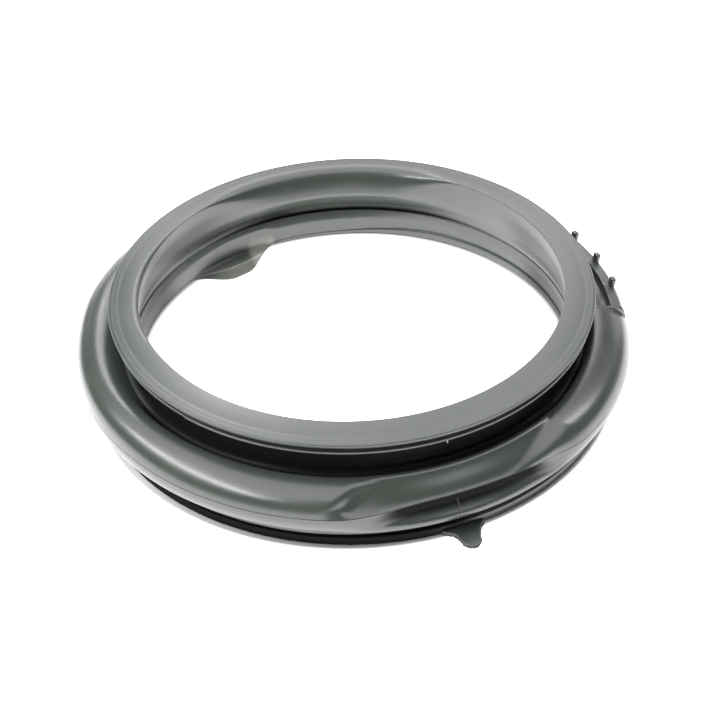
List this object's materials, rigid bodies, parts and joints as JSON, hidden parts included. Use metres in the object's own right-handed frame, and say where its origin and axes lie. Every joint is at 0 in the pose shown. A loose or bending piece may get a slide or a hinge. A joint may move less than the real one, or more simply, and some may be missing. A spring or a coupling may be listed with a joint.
{
  "type": "washing machine door seal",
  "caption": "Round moulded rubber bellows that seals the gap between a front loading washing machine's tub and its door opening.",
  "frame": {"origin": "middle of the base rim's underside, on the seal's axis", "axes": "+Z along the seal's axis from the tub side to the cabinet side, +X to the right of the picture, +Y away from the camera"},
  "size_m": [0.395, 0.3945, 0.0787],
  "materials": {
    "seal_rubber": "satin moulded grey rubber"
  },
  "bodies": {
    "root": {"door_seal": "seal_rubber"}
  },
  "joints": []
}
